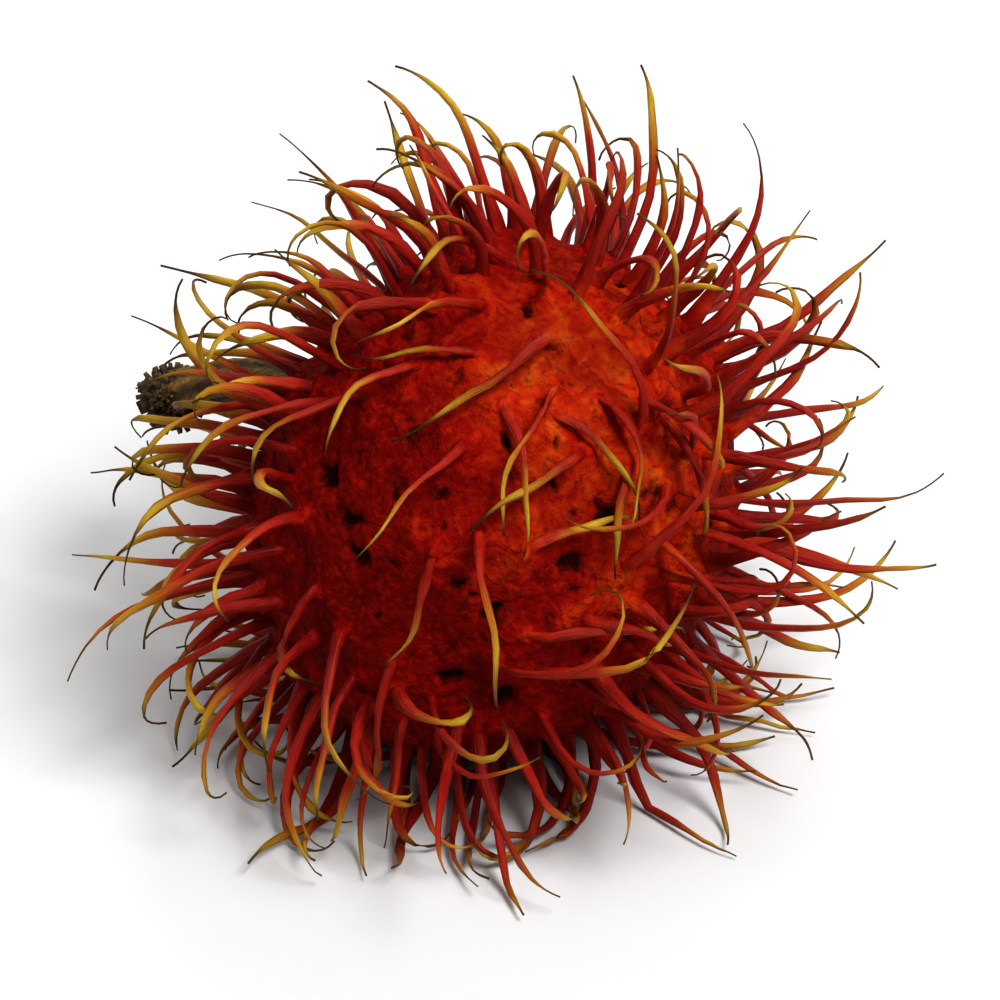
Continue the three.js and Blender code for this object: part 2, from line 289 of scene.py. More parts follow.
def grow_spintern(index, foot, length_share=1):
    """A spintern's points and headings from its sunk root to its tip, or None where it has no room."""
    if (foot - stub_skin).length < STUB_RADIUS + BARE_COLLAR or foot.z < LOWEST_FOOT:
        return None
    normal = out_of_skin(foot)
    wear = wear_at(normal)
    length = length_share * (SPINTERN_LENGTH + SPINTERN_LENGTH_SPREAD * draw_both(index, "length"))
    side = Vector([draw_both(index, purpose) for purpose in ("side_x", "side_y", "side_z")])
    side = (side - normal * side.dot(normal)).normalized()
    pull = Quaternion(normal, math.pi * draw_both(index, "lean")) @ side * OWN_LEAN
    pull += shared_lean(normal) * SHARED_LEAN - UP * (DROOP + WORN_DROOP * wear)
    heading = (normal + side * START_TILT * draw(index, "tilt")).normalized()
    hinge = heading.cross(pull).normalized()
    bend = LEAST_BEND + BEND_SPREAD * draw(index, "bend") + WORN_BEND * wear
    hook = HOOK * draw(index, "hook") ** 2
    swirl = SWIRL * draw_both(index, "swirl")
    sway = SWAY * draw_both(index, "sway")
    wave_start = draw(index, "wave")
    points, headings = [foot - normal * SPINTERN_SINK], [normal]
    point = foot
    for step in range(1, GROWTH_STEPS + 1):
        share = step / GROWTH_STEPS
        press = WORN_PRESS * wear / ELBOW_REACH * math.exp(-share / ELBOW_REACH)
        late = (HOOK_LATENESS + 1) * share**HOOK_LATENESS
        turn = press + bend * (1 + sway * (2 * share - 1)) + hook * late
        wobble = WOBBLE * math.cos(math.tau * (WOBBLE_WAVES * share + wave_start))
        heading = Quaternion(hinge, (turn + wobble * BEND_WOBBLE) / GROWTH_STEPS) @ heading
        heading = Quaternion(normal, (2 * swirl * share + wobble) / GROWTH_STEPS) @ heading
        heading = keep_clear(point, heading, length, share)
        point = point + heading * length / GROWTH_STEPS
        points.append(point)
        headings.append(heading)
    return {
        "index": index,
        "foot": foot,
        "side": side,
        "twist": SPINTERN_TWIST * draw_both(index, "twist"),
        "stoutness": 1 - WEAR_THINNING * wear,
        "points": points,
        "headings": headings,
    }


first_spintern = grow_spintern(0, first_foot)
first_reach = (first_spintern["points"][-1] - first_foot).length
print("the first spintern's tip is", round(first_reach / MM, 1), "mm from its foot")

# %% [markdown]
# ## Growing them all
# The solid has 300 places for a spintern. The real rind is denser, with shorter spinterns in between, so a
# second spiral adds those wherever they find room. The rubbed side has lost most of its spinterns. Many
# leave a dark pit, so the lost places are kept for the rind.

# %% All the spinterns
EXTRA_PLACES = 520
EXTRA_FIRST = 1000
EXTRA_ROOM = 2.0 * MM
EXTRA_LENGTH = 0.84

spinterns, lost_places = [], []
for index in range(SPINTERN_COUNT):
    foot = spiral_place(index, SPINTERN_COUNT)
    if is_lost(index, foot):
        lost_places.append(foot)
        continue
    grown = grow_spintern(index, foot)
    if grown:
        spinterns.append(grown)
solid_spinterns = len(spinterns)

for index in range(EXTRA_PLACES):
    foot = spiral_place(index, EXTRA_PLACES, first_turn=1)
    taken = [hair["foot"] for hair in spinterns] + lost_places
    if min((foot - other).length for other in taken) < EXTRA_ROOM:
        continue
    if is_lost(EXTRA_FIRST + index, foot):
        lost_places.append(foot)
        continue
    grown = grow_spintern(EXTRA_FIRST + index, foot, EXTRA_LENGTH)
    if grown:
        spinterns.append(grown)
print(solid_spinterns, "spinterns as in the solid and", len(spinterns) - solid_spinterns, "in between")
print(len(lost_places), "places have lost theirs")


# %% [markdown]
# ## From a bmesh to a piece
# Every piece is shaped in a bmesh and then becomes an object that sits at the origin, with its place in its
# mesh. Normals are worked out again at the end, so that every closed shape faces outwards.

# %% A helper for finished pieces
def finish_piece(name, bm):
    """A finished bmesh as a smooth-shaded object in the scene."""
    bmesh.ops.recalc_face_normals(bm, faces=bm.faces)
    mesh = bpy.data.meshes.new(name)
    bm.to_mesh(mesh)
    bm.free()
    mesh.shade_smooth()
    piece = bpy.data.objects.new(name, mesh)
    bpy.context.scene.collection.objects.link(piece)
    print(name, "has", len(mesh.polygons), "faces")
    return piece


# %% [markdown]
# ## The spinterns' mesh
# A spintern is a flat, soft blade that twists as it goes, narrows unevenly, and shrinks where its tip has
# dried. Hair curves would be quick, but they don't leave Blender as a solid mesh. Instead, every spintern
# starts as a small circle, and all the circles are extruded together, ring after ring. Layers on the
# corners say which spintern they belong to and how far round they are, so that each new ring can be put in
# its place. The same layers later tell the material how far along a spintern a point is.

# %% Extruding all the spinterns
SIDES = 5
RING_STEPS = [0, 1, 3, 6, 9, 12, 14, 16, 18, 20, 21, 22, 23, 24]
TIP_HALF_WIDTH = 0.1 * MM
WIDTH_LUMPS = 0.4
WIDTH_WAVES = 6
WITHERED_LOSS = 0.55
DRYING_REACH = 0.14
MOST_WITHERED = 0.3
WITHERED_BY_STEM = 0.15
STOUTNESSES = (0.8, 1.06)
GOLDEN_BY_STEM = 1.5
GOLDEN_BY_WEAR = 0.9
STEM_REACH = 16 * MM


def place_ring(verts, hairs, layers, step):
    """Puts one ring of every spintern where that step of its growth is."""
    share = step / GROWTH_STEPS
    for v in verts:
        hair = hairs[v[layers["hair"]]]
        lumps = WIDTH_LUMPS * noise.noise(Vector((hair["index"], WIDTH_WAVES * share, 0)))
        half = spintern_half_width(share) * hair["stoutness"] * (1 + lumps)
        dried = min(1, max(0, (share - hair["withered"]) / DRYING_REACH + 1))
        half = max(half * (1 - WITHERED_LOSS * dried), TIP_HALF_WIDTH)
        heading = hair["headings"][step]
        wide = (hair["side"] - heading * hair["side"].dot(heading)).normalized()
        wide = Quaternion(heading, hair["twist"] * share) @ wide
        thick = wide.cross(heading)
        round_angle = 2 * math.pi * v[layers["corner"]] / SIDES
        v.co = hair["points"][step] + wide * half * math.cos(round_angle)
        v.co += thick * half * SPINTERN_FLATNESS * math.sin(round_angle)
        v.co.z = max(v.co.z, 0)
        v[layers["along"]] = share
        v[layers["flank"]] = math.cos(round_angle)


def spintern_mesh(hairs):
    bm = bmesh.new()
    layers = {name: bm.verts.layers.int.new(name) for name in ("hair", "corner")}
    for name in ("along", "flank", "tint", "ripe", "dry"):
        layers[name] = bm.verts.layers.float.new(name)
    for number, hair in enumerate(hairs):
        near_stem = math.exp(-(((hair["foot"] - stub_skin).length / STEM_REACH) ** 2))
        hair["stoutness"] *= pick(STOUTNESSES, draw(hair["index"], "stout"))
        dryness = draw(hair["index"], "withered") * draw(hair["index"], "dry")
        hair["withered"] = 1 - MOST_WITHERED * dryness - WITHERED_BY_STEM * near_stem
        golden = GOLDEN_BY_STEM * near_stem + GOLDEN_BY_WEAR * wear_at(out_of_skin(hair["foot"]))
        for corner, v in enumerate(bmesh.ops.create_circle(bm, segments=SIDES, radius=1)["verts"]):
            v[layers["hair"]] = number
            v[layers["corner"]] = corner
            v[layers["tint"]] = draw(hair["index"], "tint")
            v[layers["dry"]] = hair["withered"]
            v[layers["ripe"]] = draw(hair["index"], "ripe") + golden
    edges = list(bm.edges)
    place_ring(bm.verts, hairs, layers, RING_STEPS[0])
    for step in RING_STEPS[1:]:
        made = bmesh.ops.extrude_edge_only(bm, edges=edges)["geom"]
        place_ring([part for part in made if isinstance(part, bmesh.types.BMVert)], hairs, layers, step)
        edges = [part for part in made if isinstance(part, bmesh.types.BMEdge)]
    bmesh.ops.holes_fill(bm, edges=[edge for edge in bm.edges if edge.is_boundary], sides=0)
    return bm


spintern_piece = finish_piece("spinterns", spintern_mesh(spinterns))

# %% [markdown]
# ## The rind's mesh
# The skin swells up round every root, rises in a ridge under each spintern that lies close to it, and sinks
# where a spintern was lost or the skin has a dark spot. A displacement texture could do the swelling, but
# it wouldn't know where the roots are. An icosphere has even faces and no poles, so it is moved onto the
# rind, and each of its corners feels the blobs near it: hills at the roots, and dark spots. The dark spots
# are partly real stain and partly painted shade at the spinterns' feet and in the pits. They are read at a
# place that is shifted a little by noise, which makes their outlines ragged. Both are kept as attributes
# for the material.

# %% Raising the skin round the roots
SKIN_DETAIL = 7
ROOT_SWELL = 1.25 * MM
ROOT_SPREAD = 1.1 * MM
RIDGES_UNDER = {2: 0.6, 4: 0.45}
LOST_SWELL = 0.5
MOST_SWELL = 2
BLOB_REACH = 4 * MM
SKIN_SINK = 0.85 * MM
BROAD_LUMPS = 0.24 * MM
BROAD_WAVES = 0.16 / MM
FINE_LUMPS = 0.2 * MM
FINE_WAVES = 0.8 / MM
STAIN_SPREADS = (0.48 * MM, 0.96 * MM)
STAIN_OFFSET = 1.35 * MM
STAIN_WARP = 0.7 * MM
STAIN_WARP_WAVES = 0.9 / MM
STAIN_RARITY = 1.5
PIT_STRENGTH = 1.7
SECOND_PIT_STRENGTH = 1.1
PIT_SPREADS = (0.32 * MM, 0.96 * MM)
SECOND_PIT_OFFSETS = (0.4 * MM, 1.22 * MM)
PIT_DEPTH = 0.8 * MM
COLLAR_DEPTH = 1.1 * MM
COLLAR_SPREAD = 3.2 * MM


class Blobs:
    """Many soft blobs, each a middle, a strength and a spread, that say how much of them a point feels."""

    def __init__(self, blobs, power):
        """Power 1 makes pointed blobs, and 2 round ones."""
        self.blobs, self.power = blobs, power
        self.tree = KDTree(len(blobs))
        for number, (middle, strength, spread) in enumerate(blobs):
            self.tree.insert(middle, number)
        self.tree.balance()

    def at(self, point):
        felt = 0
        for middle, number, gap in self.tree.find_range(point, BLOB_REACH):
            middle, strength, spread = self.blobs[number]
            felt += strength * math.exp(-((gap / spread) ** self.power))
        return felt


def hills():
    """A hill at every root, with a ridge that follows the spintern where it lies close to the skin."""
    blobs = [(foot, LOST_SWELL, ROOT_SPREAD) for foot in lost_places]
    for hair in spinterns:
        blobs.append((hair["foot"], 1, ROOT_SPREAD))
        blobs += [(hair["points"][step], share, ROOT_SPREAD) for step, share in RIDGES_UNDER.items()]
    return Blobs(blobs, power=1)


def stain_and_shade_blobs():
    """Dark spots beside the roots and in the pits: partly real stain, partly painted shade."""
    blobs = []
    for hair in spinterns:
        normal = out_of_skin(hair["foot"])
        way = Quaternion(normal, math.tau * draw(hair["index"], "stain_turn")) @ hair["side"]
        middle = hair["foot"] + way * STAIN_OFFSET * draw(hair["index"], "stain_way")
        spread = pick(STAIN_SPREADS, draw(hair["index"], "stain_width"))
        blobs.append((middle, draw(hair["index"], "stain") ** STAIN_RARITY, spread))
    for number, foot in enumerate(lost_places):
        normal = out_of_skin(foot)
        depth = draw(number, "pit")
        blobs.append((foot, PIT_STRENGTH * depth, pick(PIT_SPREADS, draw(number, "pit_width") ** 2)))
        aside = Quaternion(normal, math.tau * draw(number, "pit_turn")) @ normal.orthogonal()
        middle = foot + aside * pick(SECOND_PIT_OFFSETS, draw(number, "pit_way"))
        spread = pick(PIT_SPREADS, draw(number, "second_pit_width") ** 2)
        blobs.append((middle, SECOND_PIT_STRENGTH * depth, spread))
    return Blobs(blobs, power=2)


def rind_mesh():
    bm = bmesh.new()
    bmesh.ops.create_icosphere(bm, subdivisions=SKIN_DETAIL, radius=1)
    swell_layer = bm.verts.layers.float.new("swell")
    stain_and_shade_layer = bm.verts.layers.float.new("stain")
    root_hills, stain_and_shade_spots = hills(), stain_and_shade_blobs()
    for v in bm.verts:
        at = skin_point(v.co.normalized())
        warped = at + STAIN_WARP * noise.noise_vector(at * STAIN_WARP_WAVES)
        v[swell_layer] = min(root_hills.at(at), MOST_SWELL)
        v[stain_and_shade_layer] = min(stain_and_shade_spots.at(warped), 1)
        lumps = BROAD_LUMPS * noise.noise(at * BROAD_WAVES) + FINE_LUMPS * noise.noise(at * FINE_WAVES)
        collar = math.exp(-(((at - stub_skin).length / COLLAR_SPREAD) ** 2))
        height = ROOT_SWELL * v[swell_layer] + lumps
        height -= SKIN_SINK + PIT_DEPTH * v[stain_and_shade_layer] + COLLAR_DEPTH * collar
        v.co = at + out_of_skin(at) * height
        v.co.z = max(v.co.z, 0)
    return bm


rind_piece = finish_piece("rind", rind_mesh())

# %% [markdown]
# ## The stub's shaft
# The shaft is ridged bark. Its section is a circle whose radius rises and falls six times round, and it is
# extruded along the centre line like the spinterns, a little thinner in the middle and wide at the skin.

# %% Extruding the shaft
SHAFT_SIDES = 36
SHAFT_RINGS = 22
RIDGES = 6
RIDGE_HEIGHT = 0.1
RIDGE_TWIST = 2
BARK_LUMPS = 0.09
BARK_WAVES = 1.1 / MM
WAIST_DEPTH = 0.18
WAIST_START = 0.2
HEADING_STEP = 0.01


def place_shaft_ring(verts, layers, share):
    """Puts one ring of the shaft at a share of its centre line."""
    middle = stub_point(share)
    heading = (stub_point(share + HEADING_STEP) - stub_point(share - HEADING_STEP)).normalized()
    wide = UP.cross(heading).normalized()
    high = heading.cross(wide)
    past_skin = max(0, (share - WAIST_START) / (1 - WAIST_START))
    waist = 1 - WAIST_DEPTH * math.sin(math.pi * past_skin)
    for v in verts:
        angle = math.tau * v[layers["corner"]] / SHAFT_SIDES
        out = wide * math.cos(angle) + high * math.sin(angle)
        ridge = math.cos(RIDGES * angle + RIDGE_TWIST * share)
        lumps = BARK_LUMPS * noise.noise((middle + out * STUB_RADIUS) * BARK_WAVES)
        v.co = middle + out * STUB_RADIUS * waist * (1 + RIDGE_HEIGHT * ridge + lumps)
        v[layers["along"]] = share
        v[layers["flank"]] = ridge


def shaft_mesh():
    bm = bmesh.new()
    layers = {"corner": bm.verts.layers.int.new("corner")}
    for name in ("along", "flank"):
        layers[name] = bm.verts.layers.float.new(name)
    for corner, v in enumerate(bmesh.ops.create_circle(bm, segments=SHAFT_SIDES, radius=1)["verts"]):
        v[layers["corner"]] = corner
    edges = list(bm.edges)
    place_shaft_ring(bm.verts, layers, 0)
    for ring in range(1, SHAFT_RINGS + 1):
        made = bmesh.ops.extrude_edge_only(bm, edges=edges)["geom"]
        corners = [part for part in made if isinstance(part, bmesh.types.BMVert)]
        place_shaft_ring(corners, layers, ring / SHAFT_RINGS)
        edges = [part for part in made if isinstance(part, bmesh.types.BMEdge)]
    bmesh.ops.holes_fill(bm, edges=[edge for edge in bm.edges if edge.is_boundary], sides=0)
    return bm


shaft_piece = finish_piece("stem_shaft", shaft_mesh())

# %% [markdown]
# ## The stub's knob
# The end of the stub is a dark knob of small blunt scales. Every face of a lumpy icosphere becomes one
# scale: it is inset and raised, in a few sets of different heights, so that no two neighbours are alike.

# %% Raising the scales
KNOB_RADIUS = 1.9 * MM
SCALE_HEIGHTS = [0.35 * MM, 0.6 * MM, 0.85 * MM, 1.1 * MM]
SCALE_INSET = 0.13 * MM
KNOB_DETAIL = 3
KNOB_LUMPS = 0.16
KNOB_WAVES = 0.8 / MM


def knob_mesh():
    bm = bmesh.new()
    bmesh.ops.create_icosphere(bm, subdivisions=KNOB_DETAIL, radius=KNOB_RADIUS)
    raised_layer = bm.verts.layers.float.new("raised")
    for v in bm.verts:
        v.co *= 1 + KNOB_LUMPS * noise.noise(v.co * KNOB_WAVES)
    sets = [[] for height in SCALE_HEIGHTS]
    for number, face in enumerate(bm.faces):
        sets[int(draw(number, "scale") * len(sets))].append(face)
    for faces, height in zip(sets, SCALE_HEIGHTS):
        bmesh.ops.inset_individual(bm, faces=faces, thickness=SCALE_INSET, depth=height)
        for face in faces:
            for v in face.verts:
                v[raised_layer] = 1
    bmesh.ops.translate(bm, verts=bm.verts, vec=stub_points[-1])
    return bm


knob_piece = finish_piece("stem_knob", knob_mesh())

# %% [markdown]
# ## What the finishes share
# Skin, spinterns and bark all show the same kind of unevenness: broad patches, fine mottling and specks. It
# is built once as a node group. Each material places it with its own size, and gets back three masks. A
# small kit of functions then keeps the finishes short: each of them adds one node and links it.

# %% The unevenness group
NOISE_MIDDLE = (0.3, 0.7)  # nearly all of a noise lies between these, so they become 0 and 1


def colour_of(red, green, blue):
    """A colour given as it looks on a screen, from 0 to 255, as Blender's light values."""
    shares = [channel / 255 for channel in (red, green, blue)]
    return tuple(c / 12.92 if c < 0.04045 else ((c + 0.055) / 1.055) ** 2.4 for c in shares)


def build_unevenness():
    group = bpy.data.node_groups.new("unevenness", "ShaderNodeTree")
    group.interface.new_socket("Place", in_out="INPUT", socket_type="NodeSocketVector")
    for name in ("Patch Scale", "Mottle Scale", "Speck Scale"):
        group.interface.new_socket(name, in_out="INPUT", socket_type="NodeSocketFloat")
    for name in ("Patches", "Mottle", "Specks"):
        group.interface.new_socket(name, in_out="OUTPUT", socket_type="NodeSocketFloat")
    given = group.nodes.new("NodeGroupInput")
    put_out = group.nodes.new("NodeGroupOutput")
    for name, scale, detail, swirled in (
        ("Patches", "Patch Scale", 3, 0.4),
        ("Mottle", "Mottle Scale", 5, 0.9),
        ("Specks", "Speck Scale", 2, 0),
    ):
        clouds = group.nodes.new("ShaderNodeTexNoise")
        clouds.inputs["Detail"].default_value = detail
        clouds.inputs["Distortion"].default_value = swirled
        group.links.new(given.outputs["Place"], clouds.inputs["Vector"])
        group.links.new(given.outputs[scale], clouds.inputs["Scale"])
        spread = group.nodes.new("ShaderNodeMapRange")
        spread.inputs["From Min"].default_value, spread.inputs["From Max"].default_value = NOISE_MIDDLE
        group.links.new(clouds.outputs["Fac"], spread.inputs["Value"])
        group.links.new(spread.outputs["Result"], put_out.inputs[name])
    return group


unevenness = build_unevenness()
print("the shared group gives", [socket.name for socket in unevenness.interface.items_tree])


# %% A small kit for node trees
class Finish:
    """A material under construction, with short names for the nodes that these finishes use."""

    def __init__(self, name):
        self.material = bpy.data.materials.new(name)
        self.material.use_nodes = True
        self.tree = self.material.node_tree
        self.skin = self.tree.nodes["Principled BSDF"]

    def link(self, value, socket):
        """Feeds a socket with a number or with another node's output."""
        if isinstance(value, (int, float)):
            socket.default_value = value
        else:
            self.tree.links.new(value, socket)

    def attribute(self, name):
        node = self.tree.nodes.new("ShaderNodeAttribute")
        node.attribute_name = name
        return node.outputs["Fac"]

    def place(self):
        return self.tree.nodes.new("ShaderNodeTexCoord").outputs["Object"]

    def vector(self, x, y, z):
        node = self.tree.nodes.new("ShaderNodeCombineXYZ")
        for value, name in zip((x, y, z), "XYZ"):
            self.link(value, node.inputs[name])
        return node.outputs["Vector"]

    def math(self, operation, a, b, c=0.0):
        node = self.tree.nodes.new("ShaderNodeMath")
        node.operation = operation
        for value, socket in zip((a, b, c), node.inputs):
            self.link(value, socket)
        return node.outputs["Value"]

    def between(self, value, low, high):
        """0 below low, 1 above high, and a smooth rise in between."""
        node = self.tree.nodes.new("ShaderNodeMapRange")
        node.interpolation_type = "SMOOTHSTEP"
        self.link(value, node.inputs["Value"])
        node.inputs["From Min"].default_value = low
        node.inputs["From Max"].default_value = high
        return node.outputs["Result"]

    def uneven(self, place, patch, mottle, speck):
        node = self.tree.nodes.new("ShaderNodeGroup")
        node.node_tree = unevenness
        self.link(place, node.inputs["Place"])
        for name, scale in (("Patch Scale", patch), ("Mottle Scale", mottle), ("Speck Scale", speck)):
            node.inputs[name].default_value = scale
        return [node.outputs[name] for name in ("Patches", "Mottle", "Specks")]

    def ramp(self, factor, stops):
        node = self.tree.nodes.new("ShaderNodeValToRGB")
        self.link(factor, node.inputs["Fac"])
        elements = node.color_ramp.elements
        while len(elements) < len(stops):
            elements.new(0.5)
        for element, (position, colour) in zip(elements, stops):
            element.position = position
            element.color = (*colour, 1)
        return node.outputs["Color"]

    def mix(self, factor, first, second, blend="MIX"):
        """Two colours mixed. Each is a node's output or a colour."""
        node = self.tree.nodes.new("ShaderNodeMix")
        node.data_type = "RGBA"
        node.blend_type = blend
        self.link(factor, node.inputs["Factor"])
        for value, socket in ((first, node.inputs[6]), (second, node.inputs[7])):
            if isinstance(value, tuple):
                socket.default_value = (*value, 1)
            else:
                self.tree.links.new(value, socket)
        return node.outputs[2]

    def bump(self, height, depth, strength, under=None):
        node = self.tree.nodes.new("ShaderNodeBump")
        node.inputs["Strength"].default_value = strength
        node.inputs["Distance"].default_value = depth
        self.tree.links.new(height, node.inputs["Height"])
        if under:
            self.tree.links.new(under, node.inputs["Normal"])
        return node.outputs["Normal"]

    def settle(self, colour, roughness, normal, shine=0.3, shine_colour=(1, 1, 1)):
        self.link(colour, self.skin.inputs["Base Color"])
        self.link(roughness, self.skin.inputs["Roughness"])
        self.link(normal, self.skin.inputs["Normal"])
        self.skin.inputs["Specular IOR Level"].default_value = shine
        self.skin.inputs["Specular Tint"].default_value = (*shine_colour, 1)
        print(self.material.name, "has", len(self.tree.nodes), "nodes")
        return self.material


# %% [markdown]
# ## The colour of the skin
# The skin is deep crimson, and painted light turns it orange on the side that faces the key lamp. The
# patches and the mottling pick a colour from a ramp, and the painted light moves that choice along. The
# roots of the spinterns have the same skin as the rind, so both finishes build this colour with one
# function.

# %% Skin colour
# The side that the key lamp lights, where painted light turns the skin orange.
KEY_LIT_SIDE = Vector((0.75, -0.11, 0.65))
KEY_LIT_FROM_TO = (0.25, 0.95)
SKIN_GRAIN = (150, 560, 1900)  # how many patches, mottles and specks to a metre
PATCH_PART = 0.3  # how far the patches move the choice of colour along the ramp
PAINTED_LIGHT_PART = 0.36
MOTTLE_PART = 0.42
SKIN_COLOURS = [
    (0.0, colour_of(62, 3, 3)),
    (0.3, colour_of(102, 7, 5)),
    (0.55, colour_of(130, 14, 7)),
    (0.8, colour_of(166, 42, 11)),
    (1.0, colour_of(188, 78, 22)),
]


def skin_colour(finish, place, patches, mottle):
    centre = finish.tree.nodes.new("ShaderNodeMapping")
    centre.inputs["Location"].default_value = -rind_middle / RIND_HALVES.z
    centre.inputs["Scale"].default_value = Vector((1, 1, 1)) / RIND_HALVES.z
    finish.link(place, centre.inputs["Vector"])
    facing = finish.tree.nodes.new("ShaderNodeVectorMath")
    facing.operation = "DOT_PRODUCT"
    finish.link(centre.outputs["Vector"], facing.inputs[0])
    facing.inputs[1].default_value = KEY_LIT_SIDE
    # Painted light: the skin is made more orange on the side that faces the key lamp.
    painted_key_light = finish.between(facing.outputs["Value"], *KEY_LIT_FROM_TO)
    colour_choice = finish.math("MULTIPLY_ADD", patches, PATCH_PART, finish.math("MULTIPLY", painted_key_light, PAINTED_LIGHT_PART))
    colour_choice = finish.math("MULTIPLY_ADD", mottle, MOTTLE_PART, colour_choice)
    return finish.ramp(colour_choice, SKIN_COLOURS)


# %% [markdown]
# ## The finish of the rind
# The skin is pebbly and finely grained, with painted shade in the hollows between the roots and painted
# glints of paler red among its specks. It has dark spots and pits, partly real stain and partly painted
# shade. The hollows and the spots come from the mesh. The mottling and the specks make the spots ragged,
# and each has a dark red border and a nearly black middle.

# %% Rind finish
HOLLOW_TO_HILL = (0.35, 1.1)  # how much the skin has swollen in a hollow and on a hill
HOLLOW_SHADE_PART = 0.4
GLINT_SPECKS = (0.5, 0.0)
PAINTED_GLINT_PART = 0.13
DARK_SPECKS = (0.72, 0.95)
DARK_SPECK_PART = 0.4
RAGGED_BY_MOTTLE = 0.5
RAGGED_BY_SPECKS = 0.35
STAIN_BORDER = (0.5, 1.0)
STAIN_BORDER_PART = 0.6
STAIN_MIDDLE = (0.8, 1.35)
STAIN_MIDDLE_PART = 0.92


def rind_finish():
    finish = Finish("rind_skin")
    place = finish.place()
    patches, mottle, specks = finish.uneven(place, *SKIN_GRAIN)
    colour = skin_colour(finish, place, patches, mottle)
    # Painted shade: the hollows between the roots are darkened.
    hollow_shade = finish.math("SUBTRACT", 1.0, finish.between(finish.attribute("swell"), *HOLLOW_TO_HILL))
    colour = finish.mix(finish.math("MULTIPLY", hollow_shade, HOLLOW_SHADE_PART), colour, colour_of(78, 5, 5))
    # Painted glints: specks of paler red where the pebbles would catch the light.
    painted_glints = finish.math("MULTIPLY", finish.between(specks, *GLINT_SPECKS), PAINTED_GLINT_PART)
    colour = finish.mix(painted_glints, colour, colour_of(196, 52, 30))
    # The dark spots are partly real stain and partly painted shade at the spinterns' feet and in the pits.
    ragged = finish.math("MULTIPLY_ADD", mottle, RAGGED_BY_MOTTLE, finish.attribute("stain"))
    ragged = finish.math("MULTIPLY_ADD", specks, RAGGED_BY_SPECKS, ragged)
    border = finish.between(ragged, *STAIN_BORDER)
    colour = finish.mix(finish.math("MULTIPLY", border, STAIN_BORDER_PART), colour, colour_of(70, 8, 6))
    darkest_stain_and_shade = finish.between(ragged, *STAIN_MIDDLE)
    colour = finish.mix(finish.math("MULTIPLY", darkest_stain_and_shade, STAIN_MIDDLE_PART), colour, colour_of(22, 6, 5))
    speckled = finish.math("MULTIPLY", finish.between(specks, *DARK_SPECKS), DARK_SPECK_PART)
    colour = finish.mix(speckled, colour, colour_of(64, 8, 8))
    roughness = finish.math("MULTIPLY_ADD", mottle, 0.22, 0.5)
    pebbles = finish.bump(mottle, 0.4 * MM, 0.55)
    normal = finish.bump(specks, 0.2 * MM, 0.6, pebbles)
    roughness = finish.math("MULTIPLY_ADD", darkest_stain_and_shade, 0.35, roughness)
    return finish.settle(colour, roughness, normal, shine=0.02, shine_colour=(1, 0.4, 0.3))


rind_piece.data.materials.append(rind_finish())

# %% [markdown]
# ## The finish of the spinterns
# A spintern has the rind's skin at its root, is crimson for most of its length, then orange and golden, and
# many have dried to a dark tip. Painted shade makes the lower part of each spintern darker, and streaks of
# painted sheen run pinkish along it. Those near the stem and on the rubbed side turn golden sooner. The
# attributes from the mesh carry all of that: how far along a point is, how ripe and how dry the spintern
# is, and a random tint. Fine streaks run lengthwise.

# %% Spintern finish
STREAKS_ROUND = 0.6  # how fast the streaks change round a spintern, along it and from one to the next
STREAKS_ALONG = 2.2
STREAKS_APART = 90
STREAK_SIZES = (1.4, 3.5, 9)
RIPE_PART = 0.3
STREAK_PART = 0.12
RIPENING = 0.72
# The darkest stops, low on the spintern, are painted shade for the deep parts of the fringe.
SPINTERN_COLOURS_AND_ROOT_SHADE = [
    (0.0, colour_of(58, 4, 6)),
    (0.14, colour_of(94, 7, 8)),
    (0.42, colour_of(138, 16, 14)),
    (0.6, colour_of(152, 42, 24)),
    (0.7, colour_of(166, 104, 26)),
    (0.84, colour_of(188, 162, 46)),
    (1.0, colour_of(112, 84, 30)),
]
PAINTED_SHEEN_PART = 0.24
DULLEST = 0.34
DULL_SHUFFLE = 7.0  # makes another random number out of the tint
ROOT_FROM_TO = (0.06, 0.26)
DRYING = (-0.11, 0.02)
DRY_PART = 0.85


def spintern_finish():
    finish = Finish("spintern_skin")
    along, flank = finish.attribute("along"), finish.attribute("flank")
    tint, ripe = finish.attribute("tint"), finish.attribute("ripe")
    lengthwise = finish.vector(
        finish.math("MULTIPLY", flank, STREAKS_ROUND),
        finish.math("MULTIPLY", along, STREAKS_ALONG),
        finish.math("MULTIPLY", tint, STREAKS_APART),
    )
    streaks, fibres, _ = finish.uneven(lengthwise, *STREAK_SIZES)
    colour_choice = finish.math("MULTIPLY_ADD", ripe, RIPE_PART, along)
    colour_choice = finish.math("MULTIPLY_ADD", streaks, STREAK_PART, colour_choice)
    colour = finish.ramp(finish.math("MULTIPLY", colour_choice, RIPENING), SPINTERN_COLOURS_AND_ROOT_SHADE)
    # Painted sheen: pinkish streaks along the spintern.
    painted_sheen = finish.math("MULTIPLY", fibres, PAINTED_SHEEN_PART)
    colour = finish.mix(painted_sheen, colour, colour_of(194, 66, 44))
    dull = finish.math("FRACT", finish.math("MULTIPLY", tint, DULL_SHUFFLE), 0.0)
    colour = finish.mix(finish.math("MULTIPLY", dull, DULLEST), colour, colour_of(58, 16, 10))
    at_root = finish.math("SUBTRACT", 1.0, finish.between(along, *ROOT_FROM_TO))
    place = finish.place()
    patches, mottle, _ = finish.uneven(place, *SKIN_GRAIN)
    colour = finish.mix(at_root, colour, skin_colour(finish, place, patches, mottle))
    past_dry = finish.math("SUBTRACT", along, finish.attribute("dry"))
    dried = finish.between(past_dry, *DRYING)
    colour = finish.mix(finish.math("MULTIPLY", dried, DRY_PART), colour, colour_of(40, 26, 14))
    roughness = finish.math("MULTIPLY_ADD", fibres, 0.2, 0.3)
    normal = finish.bump(fibres, 0.25 * MM, 0.5)
    return finish.settle(colour, roughness, normal, shine=0.13, shine_colour=(1, 0.6, 0.5))


spintern_piece.data.materials.append(spintern_finish())
